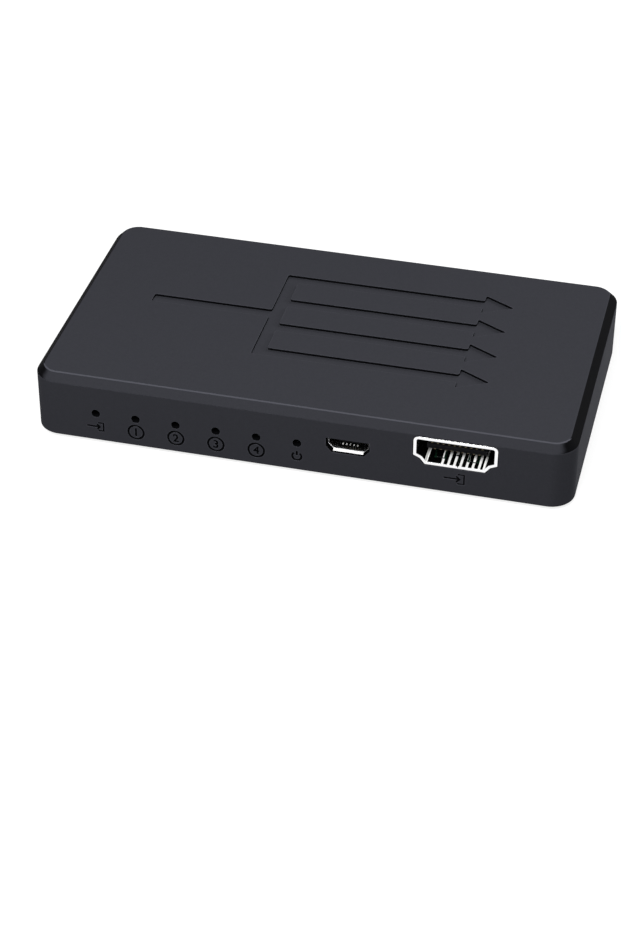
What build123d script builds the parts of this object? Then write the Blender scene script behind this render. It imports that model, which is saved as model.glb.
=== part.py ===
from build123d import *

import os

# A one-in four-out video splitter in a flat plastic case.
#
# The case is a moulded upper shell closed from below by a flat cover. One circuit board
# fills it and carries five nineteen-contact video sockets, a small power socket, six
# indicator lamps and the parts that drive them. Four screws clamp cover, board and shell.
#
# Millimetres. +Z is up, and the origin is under the middle of the case on the plane that
# its feet stand on. The input side of the case faces -Y, the four outputs face +Y.

# Case: outside sizes and mouldings
case_width = 100.0
case_depth = 56.2
case_height = 13.0
corner_radius = 4.5
edge_chamfer = 1.45
wall = 1.8
roof = 1.5
port_gap = 0.12
port_relief_skin = 0.9

# Cover
cover_thickness = 1.8
cover_ledge = 0.8
cover_gap = 0.1
cover_rib_height = 0.7
cover_rib_width = 1.0
cover_rib_inset = 8.0
cover_rib_count = 3

# Feet
foot_diameter = 8.0
foot_stand = 0.8
foot_seat_depth = 0.4
foot_gap = 0.15
foot_inset_x = 16.0
foot_inset_y = 9.5

# Board
board_thickness = 1.6
board_height = 5.4
board_gap = 0.5
board_corner = 1.5

# Screws, and the bosses and posts that take them
screw_head_diameter = 3.8
screw_head_height = 1.1
screw_diameter = 2.0
screw_length = 8.0
drive_width = 0.5
drive_length = 2.2
drive_depth = 0.6
screw_fit = 0.05
screw_clearance = 0.2
head_clearance = 0.3
head_depth = 1.3
boss_diameter = 4.8
boss_rib_width = 1.0
boss_rib_reach = 1.6
boss_rib_drop = 2.6
pilot_spare = 1.0
front_screw_inset_x = 6.5
front_screw_inset_y = 6.6
rear_screw_gap = 0.35

# Places of the sockets and lamps along the case
output_count = 4
first_output_inset = 13.6
last_output_inset = 12.6
input_inset = 21.2
input_power_spacing = 19.45
power_lamp_spacing = 9.35
first_lamp_inset = 12.2
lamp_hole_diameter = 1.6
lamp_names = ["input", "output_1", "output_2", "output_3", "output_4", "power"]

# Video socket: the opening that the plug enters, and the folded steel round it
opening_width = 14.0
opening_height = 4.55
opening_floor_width = 10.3
opening_shoulder_width = 12.0
opening_shoulder_height = 1.05
opening_side_foot = 1.5
opening_corner = 0.35
steel = 0.35
rim_reach = 0.6
rim_depth = 0.45
socket_lift = 0.3
socket_depth = 11.0
lid_foot_gap = 1.2
seam_width = 0.14
seam_shift = 0.5
seam_notch = 0.5
finger_width = 1.4
finger_slot = 0.35
finger_spacing = 6.0
finger_tip_depth = 2.0
finger_crown_depth = 2.8
finger_root_gap = 1.8
finger_reach = 0.3
leg_width = 1.1
leg_length = 2.4
leg_rise = 2.2
front_leg_depth = 4.3
rear_leg_setback = 1.4
leg_slot_gap = 0.15

# Video socket: insulator and contacts
tongue_width = 10.8
tongue_thickness = 1.0
tongue_height = 2.3
tongue_recess = 1.6
tongue_bevel = 0.22
block_length = 1.1
block_setback = 1.3
block_foot_width = 9.6
insulator_gap = 0.04
contact_pitch = 1.0
contact_width = 0.34
contact_thickness = 0.16
contact_setback = 0.35
contact_slot_gap = 0.08
upper_contact_count = 10
lower_contact_count = 9
contact_tail_gap = 0.25
contact_foot_length = 1.3

# Power socket
power_width = 6.9
power_floor_width = 5.3
power_opening_height = 1.85
power_side_foot = 0.75
power_steel = 0.25
power_depth = 5.2
power_recess = 0.8
flare_depth = 0.7
flare_reach = 0.2
latch_spacing = 3.4
latch_width = 0.9
latch_length = 1.6
latch_depth = 1.6
power_leg_width = 0.8
power_leg_length = 2.0
power_leg_rise = 1.4
power_leg_setback = 1.8
power_tongue_width = 3.9
power_tongue_thickness = 0.6
power_tongue_drop = 0.35
power_tongue_recess = 0.9
power_block_length = 1.3
power_contact_count = 5
power_contact_pitch = 0.65
power_contact_width = 0.3
power_contact_thickness = 0.12
power_contact_setback = 0.25
power_slot_gap = 0.06
power_tail_length = 1.0

# Indicator lamps
lamp_length = 1.6
lamp_depth = 0.8
lamp_height = 1.0
lamp_lens_height = 0.7
lamp_lens_width = 1.2
lamp_lens_reach = 0.35
lamp_edge_gap = 0.1

# Chips: bodies and bent leads
chip_standoff = 0.1
chip_bevel = 0.25
lead_width = 0.3
lead_thickness = 0.16
lead_reach = 1.0
lead_shoulder = 0.4
splitter_side = 9.6
splitter_height = 1.4
splitter_lead_count = 10
splitter_pitch = 0.8
splitter_x = 0.5
splitter_y = 0.5
controller_length = 6.5
controller_width = 4.4
controller_height = 1.2
controller_lead_count = 8
controller_pitch = 0.7
controller_x = -17.5
controller_y = -5.5
memory_length = 4.9
memory_width = 3.9
memory_height = 1.4
memory_lead_count = 4
memory_pitch = 1.27
memory_x = -30.0
memory_y = -5.5
regulator_length = 6.5
regulator_width = 3.5
regulator_height = 1.6
regulator_lead_count = 3
regulator_pitch = 2.3
regulator_lead_width = 0.7
regulator_tab_width = 3.0

# Other parts on the board
crystal_length = 11.0
crystal_width = 4.6
crystal_height = 3.4
crystal_flange = 0.4
crystal_flange_height = 0.5
crystal_x = -24.0
crystal_y = 2.0
coil_side = 4.0
coil_height = 2.4
coil_corner = 0.8
coil_flange = 0.5
coil_waist = 0.5
can_diameter = 4.0
can_height = 5.0
can_base_height = 0.8
can_base_overhang = 0.15
fuse_length = 3.2
fuse_width = 1.6
fuse_height = 0.7
guard_length = 2.5
guard_width = 1.0
guard_height = 0.55
guard_spacing = 4.4
guard_behind_socket = 1.9
capacitor_length = 1.6
capacitor_width = 0.8
capacitor_height = 0.8
capacitor_spacing = 2.4
capacitor_gap = 1.2
resistor_height = 0.45
resistor_setback = 2.2
end_bevel_share = 0.2

# The supply parts stand in a row behind the power socket, at these places beside its middle
supply_row_inset = 14.0
regulator_shift = 2.65
coil_shift = -7.85
first_can_shift = -15.85
second_can_shift = 9.65
fuse_inset = 7.6

# How far a cutting shape runs past what it cuts
overrun = 1.0

# Levels and edges that follow from the sizes above
case_base = foot_stand
case_top = case_base + case_height
ceiling = case_top - roof
cover_top = case_base + cover_thickness
board_top = case_base + board_height
board_bottom = board_top - board_thickness
front_face = -case_depth / 2
rear_face = case_depth / 2
inner_width = case_width - 2 * wall
inner_depth = case_depth - 2 * wall
inner_radius = corner_radius - wall
board_width = inner_width - 2 * board_gap
board_depth = inner_depth - 2 * board_gap
board_front = -board_depth / 2
screw_seat = case_base + head_depth
screw_hole = screw_diameter + 2 * screw_clearance
boss_reach = boss_diameter / 2 + boss_rib_reach
block_end = socket_depth - block_setback
block_depth = block_end - block_length
finger_root_depth = block_depth - finger_root_gap
power_block_depth = power_depth - power_block_length
tongue_top = steel + tongue_height + tongue_thickness / 2
tongue_bottom = tongue_top - tongue_thickness
power_tongue_top = power_steel + power_opening_height - power_tongue_drop
power_tongue_bottom = power_tongue_top - power_tongue_thickness


def spread(count, pitch):
    """Evenly spaced places about zero."""
    return [pitch * (i - (count - 1) / 2) for i in range(count)]


def between(count, first, last):
    """Evenly spaced places from the first to the last."""
    return [first + (last - first) * i / (count - 1) for i in range(count)]


output_xs = between(output_count, first_output_inset - case_width / 2, case_width / 2 - last_output_inset)
input_x = case_width / 2 - input_inset
power_x = input_x - input_power_spacing
lamp_xs = between(len(lamp_names), first_lamp_inset - case_width / 2, power_x - power_lamp_spacing)
lamp_level = board_top + lamp_height / 2
supply_row_y = front_face + supply_row_inset

# The rear screws stand behind the sockets, midway between the two at each end.
front_screw_x = case_width / 2 - front_screw_inset_x
front_screw_y = front_face + front_screw_inset_y
rear_screw_y = rear_face - socket_depth - steel - rear_screw_gap - boss_reach
screw_places = [
    (-front_screw_x, front_screw_y),
    (front_screw_x, front_screw_y),
    ((output_xs[0] + output_xs[1]) / 2, rear_screw_y),
    ((output_xs[-2] + output_xs[-1]) / 2, rear_screw_y),
]
foot_x = case_width / 2 - foot_inset_x
foot_y = case_depth / 2 - foot_inset_y
foot_places = [(x, y) for y in (-foot_y, foot_y) for x in (-foot_x, foot_x)]

# Each socket is drawn with its mouth at y = 0, its depth along +Y and the underside of its
# shell at z = 0. These put it in its place, with the outputs turned to face the other way.
# The outputs count from -X to +X, which is right to left for someone who faces them.
socket_level = board_top + socket_lift
input_seat = Pos(input_x, front_face, socket_level)
output_seats = [Pos(x, rear_face, socket_level) * Rot(0, 0, 180) for x in output_xs]
video_seats = [input_seat, *output_seats]
power_seat = Pos(power_x, front_face + power_recess, board_top)


def block(x_size, y_size, z_size):
    """A box centred on x and y, standing on z = 0."""
    return Box(x_size, y_size, z_size, align=(Align.CENTER, Align.CENTER, Align.MIN))


def stretch(x_size, y_low, y_high, z_low, z_high):
    """A box centred on x that fills a stretch of y and of z."""
    return Pos(0, (y_low + y_high) / 2, z_low) * block(x_size, y_high - y_low, z_high - z_low)


def rod(diameter, z_low, z_high):
    """An upright cylinder between two levels."""
    height = z_high - z_low
    upright = Cylinder(diameter / 2, height, align=(Align.CENTER, Align.CENTER, Align.MIN))
    return Pos(0, 0, z_low) * upright


def along_depth(face, y_low, y_high):
    """A face drawn in x and z, made solid over a stretch of y."""
    return Pos(0, y_low, 0) * extrude(Plane.XZ * face, amount=-(y_high - y_low))


def across(points, width):
    """An outline of (y, z) points, made solid over a width in x."""
    side = make_face(Polyline(*points, close=True))
    return Pos(-width / 2, 0, 0) * extrude(Plane.YZ * side, amount=width)


def strip(centres, thickness, width):
    """A flat strip that follows (y, z) points, as thick in z as given."""
    upper = [(y, z + thickness / 2) for y, z in centres]
    lower = [(y, z - thickness / 2) for y, z in reversed(centres)]
    return across(upper + lower, width)


def rounded_slab(width, depth, radius, z_low, z_high):
    """A slab with rounded upright corners."""
    return Pos(0, 0, z_low) * extrude(RectangleRounded(width, depth, radius), amount=z_high - z_low)


def mirrored(half):
    """The points of a half outline at +x, closed by their mirror images at -x."""
    return half + [(-x, z) for x, z in reversed(half)]


def group(pieces):
    """Separate solids that share one node."""
    return Compound(children=list(pieces))


# Video socket


def opening_outline(reach):
    """The plug opening with its stepped lower corners, grown outwards by reach."""
    corners = [
        (opening_width / 2, opening_height),
        (opening_width / 2, opening_side_foot),
        (opening_shoulder_width / 2, opening_shoulder_height),
        (opening_floor_width / 2, 0),
    ]
    face = make_face(Polyline(*mirrored(corners), close=True))
    face = fillet(face.vertices().group_by(Axis.Y)[-1], opening_corner)
    if reach:
        face = offset(face, amount=reach, kind=Kind.INTERSECTION)
    return Pos(0, steel) * face


def floor_finger():
    """A sprung finger that bows into the opening, drawn for the floor of the shell."""
    middle = steel / 2
    centres = [
        (finger_root_depth + steel, middle),
        (finger_root_depth, middle),
        (finger_crown_depth, middle + finger_reach),
        (finger_tip_depth, middle),
    ]
    return strip(centres, steel, finger_width)


def floor_window():
    """The slot that frees a finger from the floor of the shell."""
    window_width = finger_width + 2 * finger_slot
    return stretch(window_width, finger_tip_depth - finger_slot, finger_root_depth, -steel, 2 * steel)


def four_times(floor_shape):
    """A floor shape at its two places on the floor, and turned over under the roof."""
    floor = [Pos(x, 0, 0) * floor_shape for x in spread(2, finger_spacing)]
    roof_level = opening_height + 2 * steel
    return floor + [Pos(0, 0, roof_level) * mirror(shape, about=Plane.XY) for shape in floor]


def leg_places():
    """x and y of the four legs that go through the board."""
    x = opening_width / 2 + steel / 2
    return [(side * x, y) for side in (-1, 1) for y in (front_leg_depth, socket_depth - rear_leg_setback)]


def socket_shell():
    """The folded steel shell: rim, tube, lid, sprung fingers, seam and legs."""
    rim = along_depth(opening_outline(rim_reach), 0, rim_depth)
    tube = along_depth(opening_outline(steel), 0, socket_depth)
    lid_back = socket_depth + steel
    lid = along_depth(opening_outline(steel), socket_depth, lid_back)
    lid -= stretch(case_width, 0, lid_back + overrun, -overrun, lid_foot_gap)
    shell = rim + tube + lid
    shell -= along_depth(opening_outline(0), -overrun, socket_depth)

    rear_cut = stretch(block_foot_width, block_depth, socket_depth, -overrun, steel + overrun)
    seam = stretch(seam_width, -overrun, socket_depth, -overrun, steel + finger_reach)
    notch = Rot(0, 45, 0) * Box(seam_notch, rim_depth * 2, seam_notch)
    at_seam = Pos(seam_shift, 0, 0)
    rim_foot = Pos(0, 0, steel - rim_reach)
    shell = shell.cut(*four_times(floor_window()), rear_cut, at_seam * seam, at_seam * rim_foot * notch)

    leg = Pos(0, 0, -leg_length) * block(steel, leg_width, leg_length + leg_rise)
    legs = [Pos(x, y, 0) * leg for x, y in leg_places()]
    return shell.fuse(*four_times(floor_finger()), *legs)


def contact(level, start, tail, foot, thickness, width, base):
    """A blade at a level from start to tail, which drops there to a foot on the board."""
    outline = [
        (start, level),
        (tail, level),
        (tail, base),
        (tail + foot, base),
        (tail + foot, base + thickness),
        (tail + thickness, base + thickness),
        (tail + thickness, level + thickness),
        (start, level + thickness),
    ]
    return across(outline, width)


def socket_contacts():
    """Ten contacts on the upper face of the tongue, and nine between them on the lower."""
    start = tongue_recess + contact_setback
    tail = block_end + contact_tail_gap
    row = []
    for level, count in (
        (tongue_top, upper_contact_count),
        (tongue_bottom - contact_thickness, lower_contact_count),
    ):
        one = contact(
            level, start, tail, contact_foot_length, contact_thickness, contact_width, -socket_lift
        )
        row += [Pos(x, 0, 0) * one for x in spread(count, contact_pitch)]
    return row


def socket_insulator():
    """The moulded tongue and the block that closes the back of the shell and stands on the board."""
    tongue = stretch(tongue_width, tongue_recess, block_end, tongue_bottom, tongue_top)
    nose = tongue.faces().sort_by(Axis.Y)[0]
    tongue = chamfer(nose.edges().filter_by(Axis.X), tongue_bevel)
    body = along_depth(opening_outline(-insulator_gap), block_depth, block_end)
    foot_width = block_foot_width - 2 * insulator_gap
    body += stretch(foot_width, block_depth + insulator_gap, block_end, -socket_lift, steel + insulator_gap)
    body += tongue
    for low, count in (
        (tongue_top, upper_contact_count),
        (tongue_bottom - contact_thickness, lower_contact_count),
    ):
        slot_width = contact_pitch * (count - 1) + contact_width + 2 * contact_slot_gap
        slot_back = block_end + overrun
        body -= stretch(slot_width, block_depth - insulator_gap, slot_back, low, low + contact_thickness)
    return body


# Power socket


def power_outline(reach):
    """The power plug's opening, grown outwards by reach on every side."""
    corners = [
        (power_width / 2 + reach, power_opening_height + reach),
        (power_width / 2 + reach, power_side_foot),
        (power_floor_width / 2 + reach / 2, -reach),
    ]
    return Pos(0, power_steel) * make_face(Polyline(*mirrored(corners), close=True))


def flare(front_reach, back_reach):
    """The widening mouth between two outlines."""
    front = Plane.XZ * power_outline(front_reach)
    back = Pos(0, flare_depth, 0) * (Plane.XZ * power_outline(back_reach))
    return loft([front.face(), back.face()], ruled=True)


def power_leg_places():
    """x and y of the two legs that go through the board."""
    x = power_width / 2 + power_steel / 2
    return [(side * x, power_depth - power_leg_setback) for side in (-1, 1)]


def power_shell():
    """The steel shell of the power socket, with its flared mouth and latch holes."""
    tube = along_depth(power_outline(power_steel), flare_depth, power_depth)
    shell = tube + flare(power_steel + flare_reach, power_steel)
    shell -= along_depth(power_outline(0), flare_depth, power_depth + overrun)
    shell -= flare(flare_reach, 0)
    latch_hole = stretch(
        latch_width, latch_depth, latch_depth + latch_length, power_opening_height, 2 * power_opening_height
    )
    shell = shell.cut(*[Pos(x, 0, 0) * latch_hole for x in spread(2, latch_spacing)])
    leg = block(power_steel, power_leg_width, power_leg_length + power_leg_rise)
    return shell.fuse(*[Pos(x, y, -power_leg_length) * leg for x, y in power_leg_places()])


def power_contact_row():
    """The five contacts under the tongue, each with a foot behind the shell."""
    one = contact(
        power_tongue_bottom - power_contact_thickness,
        power_tongue_recess + power_contact_setback,
        power_depth,
        power_tail_length,
        power_contact_thickness,
        power_contact_width,
        0,
    )
    return [Pos(x, 0, 0) * one for x in spread(power_contact_count, power_contact_pitch)]


def power_insulator():
    """The tongue and rear block of the power socket."""
    body = along_depth(power_outline(-insulator_gap), power_block_depth, power_depth)
    body += stretch(
        power_tongue_width, power_tongue_recess, power_depth, power_tongue_bottom, power_tongue_top
    )
    row_width = power_contact_pitch * (power_contact_count - 1) + power_contact_width
    return body - stretch(
        row_width + 2 * power_slot_gap,
        power_block_depth - insulator_gap,
        power_depth + overrun,
        power_tongue_bottom - power_contact_thickness,
        power_tongue_bottom,
    )


# Case


def screw_boss():
    """A boss under the roof, braced by four ribs."""
    boss = rod(boss_diameter, board_top, ceiling + roof / 2)
    rib = block(2 * boss_reach, boss_rib_width, boss_rib_drop + roof / 2)
    rib = Pos(0, 0, ceiling - boss_rib_drop) * rib
    return boss + rib + Rot(0, 0, 90) * rib


def port_relief():
    """The thinned inner side of the wall under a video socket, which lets its rim go up."""
    width = opening_width + 2 * (rim_reach + port_gap)
    low = cover_top - socket_level
    return stretch(width, port_relief_skin, wall + overrun, low, steel + opening_height / 2)


def upper_shell():
    """The moulded shell: roof, walls, bevelled top edge, bosses and port openings."""
    body = rounded_slab(case_width, case_depth, corner_radius, case_base, case_top)
    body = chamfer(body.faces().sort_by(Axis.Z)[-1].edges(), edge_chamfer)
    hollow = rounded_slab(inner_width, inner_depth, inner_radius, case_base - overrun, ceiling)
    seat = rounded_slab(
        inner_width + 2 * cover_ledge,
        inner_depth + 2 * cover_ledge,
        inner_radius + cover_ledge,
        case_base - overrun,
        cover_top,
    )
    body = body - hollow - seat
    boss = screw_boss()
    body = body.fuse(*[Pos(x, y, 0) * boss for x, y in screw_places])

    pilot = rod(screw_diameter + 2 * screw_fit, case_base, screw_seat + screw_length + pilot_spare)
    cuts = [Pos(x, y, 0) * pilot for x, y in screw_places]
    port = along_depth(opening_outline(rim_reach + port_gap), -overrun, wall + overrun)
    cuts += [seat * port for seat in video_seats]
    cuts += [seat * port_relief() for seat in video_seats]
    power_reach = power_steel + flare_reach + port_gap
    cuts.append(power_seat * along_depth(power_outline(power_reach), -overrun, wall + overrun))
    lamp_hole = Rot(90, 0, 0) * Cylinder(lamp_hole_diameter / 2, wall + 2 * overrun)
    cuts += [Pos(x, front_face + wall / 2, lamp_level) * lamp_hole for x in lamp_xs]
    return body.cut(*cuts)


def bottom_cover():
    """The flat cover: posts under the board, sunk screw holes, ribs and seats for the feet."""
    width = inner_width + 2 * (cover_ledge - cover_gap)
    depth = inner_depth + 2 * (cover_ledge - cover_gap)
    plate = rounded_slab(width, depth, inner_radius + cover_ledge - cover_gap, case_base, cover_top)
    rib = Pos(0, 0, cover_top) * block(inner_width - 2 * cover_rib_inset, cover_rib_width, cover_rib_height)
    rib_pitch = (inner_depth / 2 - cover_rib_inset) * 2 / cover_rib_count
    ribs = [Pos(0, y, 0) * rib for y in spread(cover_rib_count, rib_pitch)]
    post = rod(boss_diameter, cover_top - cover_thickness / 2, board_bottom)
    posts = [Pos(x, y, 0) * post for x, y in screw_places]
    hole = rod(screw_hole, case_base, board_bottom + overrun)
    hole += rod(screw_head_diameter + 2 * head_clearance, case_base - overrun, screw_seat)
    foot_seat = rod(foot_diameter + 2 * foot_gap, case_base - overrun, case_base + foot_seat_depth)
    cuts = [Pos(x, y, 0) * hole for x, y in screw_places]
    cuts += [Pos(x, y, 0) * foot_seat for x, y in foot_places]
    return plate.fuse(*ribs, *posts).cut(*cuts)


def cover_screw():
    """A pan-head self-tapping screw that points up, with a cross recess under its head."""
    head_face = screw_seat - screw_head_height
    head = rod(screw_head_diameter, head_face, screw_seat)
    shank = rod(screw_diameter, screw_seat, screw_seat + screw_length)
    recess = Pos(0, 0, head_face - overrun) * block(drive_length, drive_width, drive_depth + overrun)
    return (head + shank).cut(recess, Rot(0, 0, 90) * recess)


def rubber_foot():
    """A round pad that stands in its seat in the cover."""
    return rod(foot_diameter, 0, case_base + foot_seat_depth)


# Board and what it carries


def board_slot(leg_thickness, width):
    """What a leg's slot takes out of the board."""
    depth = board_thickness + 2 * overrun
    slot = block(leg_thickness + 2 * leg_slot_gap, width + 2 * leg_slot_gap, depth)
    return Pos(0, 0, -board_thickness - overrun) * slot


def main_board():
    """The circuit board with its screw holes and the slots for the socket legs."""
    board = rounded_slab(board_width, board_depth, board_corner, board_bottom, board_top)
    screw_drill = rod(screw_hole, board_bottom - overrun, board_top + overrun)
    holes = [Pos(x, y, 0) * screw_drill for x, y in screw_places]
    leg_slot = board_slot(steel, leg_width)
    holes += [seat * Pos(x, y, -socket_lift) * leg_slot for seat in video_seats for x, y in leg_places()]
    power_slot = board_slot(power_steel, power_leg_width)
    holes += [power_seat * Pos(x, y, 0) * power_slot for x, y in power_leg_places()]
    return board.cut(*holes)


def lamp():
    """A side-looking lamp: a square body with a round lens in front, facing -Y."""
    body = Pos(0, lamp_depth / 2, 0) * block(lamp_length, lamp_depth, lamp_height)
    flatness = 2 * lamp_lens_reach / lamp_lens_width
    lens = scale(Cylinder(lamp_lens_width / 2, lamp_lens_height), by=(1, flatness, 1))
    return body + Pos(0, 0, lamp_height / 2) * lens


def package(length, width, height):
    """A moulded chip body with bevelled upper edges."""
    body = Pos(0, 0, chip_standoff) * block(length, width, height - chip_standoff)
    return chamfer(body.faces().sort_by(Axis.Z)[-1].edges(), chip_bevel)


def bent_lead(edge, level, width):
    """A lead that leaves a package at a level and bends down to the board, along +Y."""
    toe = lead_thickness / 2
    centres = [
        (edge, level),
        (edge + lead_shoulder, toe),
        (edge + lead_reach, toe),
    ]
    return strip(centres, lead_thickness, width)


def lead_frame(length, width, height, count, pitch, quarter_turns):
    """Rows of bent leads beside a package, one row for each of the quarter turns given."""
    leads = []
    for quarter in quarter_turns:
        edge = (length if quarter % 2 else width) / 2
        lead = bent_lead(edge, height / 2, lead_width)
        leads += [Rot(0, 0, 90 * quarter) * Pos(x, 0, 0) * lead for x in spread(count, pitch)]
    return leads


def regulator_leads_and_tab():
    """Three narrow leads on one side of the regulator and a wide tab on the other."""
    lead = bent_lead(regulator_width / 2, regulator_height / 2, regulator_lead_width)
    tab = bent_lead(regulator_width / 2, regulator_height / 2, regulator_tab_width)
    leads = [Pos(x, 0, 0) * lead for x in spread(regulator_lead_count, regulator_pitch)]
    return leads + [Rot(0, 0, 180) * tab]


def crystal():
    """An oval metal can on a flange."""
    flange = extrude(SlotOverall(crystal_length, crystal_width), amount=crystal_flange_height)
    can_length = crystal_length - 2 * crystal_flange
    can_width = crystal_width - 2 * crystal_flange
    return flange + extrude(SlotOverall(can_length, can_width), amount=crystal_height)


def coil():
    """A drum core with a wound waist between two flanges."""
    slab = Rectangle(coil_side, coil_side)
    slab = chamfer(slab.vertices(), coil_corner)
    waist = coil_side - 2 * coil_waist
    lower = extrude(slab, amount=coil_flange)
    upper = Pos(0, 0, coil_height - coil_flange) * lower
    return lower + upper + rod(waist, coil_flange / 2, coil_height - coil_flange / 2)


def can_capacitor():
    """An aluminium can on a square base with two cut corners."""
    base_side = can_diameter + 2 * can_base_overhang
    base = block(base_side, base_side, can_base_height)
    cut_corners = base.edges().filter_by(Axis.Z).group_by(Axis.X)[0]
    base = chamfer(cut_corners, can_base_height)
    return base + rod(can_diameter, can_base_height / 2, can_height)


def brick(length, width, height):
    """A small two-ended part with bevelled upper edges."""
    body = block(length, width, height)
    top_edges = body.faces().sort_by(Axis.Z)[-1].edges()
    return chamfer(top_edges.filter_by(Axis.Y), end_bevel_share * height)


def guard_places():
    """Two surge guards behind each video socket."""
    y = socket_depth + guard_behind_socket
    return [seat * Pos(x, y, -socket_lift) for seat in video_seats for x in spread(2, guard_spacing)]


def capacitor_places():
    """Smoothing capacitors round the splitter chip, two or three on each side."""
    reach = splitter_side / 2 + lead_reach + capacitor_gap
    ring = []
    for turn, count in ((0, 3), (90, 2), (180, 3), (270, 2)):
        ring += [Rot(0, 0, turn) * Pos(x, reach, 0) for x in spread(count, capacitor_spacing)]
    return [Pos(splitter_x, splitter_y, board_top) * place for place in ring]


def resistor_places():
    """One resistor behind each lamp."""
    y = board_front + lamp_depth + resistor_setback
    return [Pos(x, y, board_top) * Rot(0, 0, 90) for x in lamp_xs]


def on_board(x, y):
    """A place on the upper face of the board."""
    return Pos(x, y, board_top)


def build():
    """Every node by name, each in its place."""
    nodes = {
        "upper_shell": upper_shell(),
        "bottom_cover": bottom_cover(),
        "cover_screws": group(Pos(x, y, 0) * cover_screw() for x, y in screw_places),
        "rubber_feet": group(Pos(x, y, 0) * rubber_foot() for x, y in foot_places),
        "main_board": main_board(),
    }

    shell = socket_shell()
    insulator = socket_insulator()
    contacts = socket_contacts()
    port_names = [f"output_{i + 1}" for i in range(output_count)]
    for name, seat in zip(["input", *port_names], video_seats):
        nodes[f"{name}_socket_shell"] = seat * shell
        nodes[f"{name}_socket_insulator"] = seat * insulator
        nodes[f"{name}_socket_contacts"] = group(seat * one for one in contacts)
    nodes["power_socket_shell"] = power_seat * power_shell()
    nodes["power_socket_insulator"] = power_seat * power_insulator()
    nodes["power_socket_contacts"] = group(power_seat * one for one in power_contact_row())

    lamp_y = board_front + lamp_edge_gap + lamp_lens_reach
    for name, x in zip(lamp_names, lamp_xs):
        nodes[f"lamp_{name}"] = on_board(x, lamp_y) * lamp()

    chips = {
        "splitter_chip": (
            on_board(splitter_x, splitter_y),
            (splitter_side, splitter_side, splitter_height),
            (splitter_lead_count, splitter_pitch, (0, 1, 2, 3)),
        ),
        "controller_chip": (
            on_board(controller_x, controller_y),
            (controller_length, controller_width, controller_height),
            (controller_lead_count, controller_pitch, (0, 2)),
        ),
        "memory_chip": (
            on_board(memory_x, memory_y),
            (memory_length, memory_width, memory_height),
            (memory_lead_count, memory_pitch, (0, 2)),
        ),
    }
    for name, (place, sizes, rows) in chips.items():
        nodes[name] = place * package(*sizes)
        nodes[f"{name}_leads"] = group(place * lead for lead in lead_frame(*sizes, *rows))

    at_regulator = on_board(power_x + regulator_shift, supply_row_y)
    nodes["voltage_regulator"] = at_regulator * package(regulator_length, regulator_width, regulator_height)
    nodes["voltage_regulator_leads"] = group(at_regulator * lead for lead in regulator_leads_and_tab())
    nodes["crystal"] = on_board(crystal_x, crystal_y) * crystal()
    nodes["power_coil"] = on_board(power_x + coil_shift, supply_row_y) * coil()
    nodes["can_capacitors"] = group(
        on_board(power_x + shift, supply_row_y) * can_capacitor()
        for shift in (first_can_shift, second_can_shift)
    )
    at_fuse = on_board(power_x + coil_shift, front_face + fuse_inset)
    nodes["power_fuse"] = at_fuse * brick(fuse_length, fuse_width, fuse_height)

    guard = brick(guard_length, guard_width, guard_height)
    nodes["surge_guards"] = group(place * guard for place in guard_places())
    capacitor = brick(capacitor_length, capacitor_width, capacitor_height)
    nodes["ceramic_capacitors"] = group(place * capacitor for place in capacitor_places())
    resistor = brick(capacitor_length, capacitor_width, resistor_height)
    nodes["lamp_resistors"] = group(place * resistor for place in resistor_places())
    return nodes


os.makedirs("parts", exist_ok=True)
for node_name, node in build().items():
    export_step(node, f"parts/{node_name}.step")
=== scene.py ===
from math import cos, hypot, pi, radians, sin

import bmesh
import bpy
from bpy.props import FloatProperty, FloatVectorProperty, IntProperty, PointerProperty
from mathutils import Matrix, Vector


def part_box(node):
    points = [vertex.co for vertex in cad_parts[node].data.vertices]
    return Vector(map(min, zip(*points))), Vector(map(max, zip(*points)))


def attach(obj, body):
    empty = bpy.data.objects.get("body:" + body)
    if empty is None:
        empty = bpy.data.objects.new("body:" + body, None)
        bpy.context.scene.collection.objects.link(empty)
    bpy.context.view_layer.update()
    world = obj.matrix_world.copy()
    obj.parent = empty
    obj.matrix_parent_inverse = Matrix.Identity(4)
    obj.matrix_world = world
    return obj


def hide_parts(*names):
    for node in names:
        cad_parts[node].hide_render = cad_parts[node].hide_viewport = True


bl_info = {
    "name": "Video splitter box",
    "version": (1, 0, 0),
    "blender": (4, 5, 0),
    "location": "View3D > Sidebar > Splitter",
    "description": "Dresses a video splitter: moulded case, sockets, screws, feet, board and studio",
    "category": "Object",
}

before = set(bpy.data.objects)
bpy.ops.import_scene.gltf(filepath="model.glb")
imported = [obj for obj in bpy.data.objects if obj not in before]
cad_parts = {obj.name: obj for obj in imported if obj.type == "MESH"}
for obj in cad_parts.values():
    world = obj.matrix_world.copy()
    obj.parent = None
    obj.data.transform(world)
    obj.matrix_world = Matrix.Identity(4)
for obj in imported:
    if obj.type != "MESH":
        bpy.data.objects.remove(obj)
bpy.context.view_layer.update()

MM = 0.001
NEAR = 0.005 * MM
BODY = "root"

# Places that the packed model gives
CASE_LOW, CASE_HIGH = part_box("upper_shell")
PORTS = ["output_1", "output_2", "output_3", "output_4"]
VIDEO_SOCKETS = ["input", *PORTS]
LAMPS = ["lamp_input", *[f"lamp_{port}" for port in PORTS], "lamp_power"]


def middle(node):
    """The middle of a CAD node's box."""
    low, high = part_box(node)
    return (low + high) / 2


# Settings


def tint(name, description, default):
    """A colour."""
    return FloatVectorProperty(
        name=name, description=description, default=default, subtype="COLOR", min=0, max=1
    )


def length(name, description, default, least=0):
    """A length, whose default and least value are given in millimetres."""
    return FloatProperty(
        name=name, description=description, default=default * MM, min=least * MM, unit="LENGTH", precision=6
    )


def angle(name, description, default):
    """An angle, whose default is given in degrees."""
    return FloatProperty(name=name, description=description, default=radians(default), subtype="ANGLE")


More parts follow.
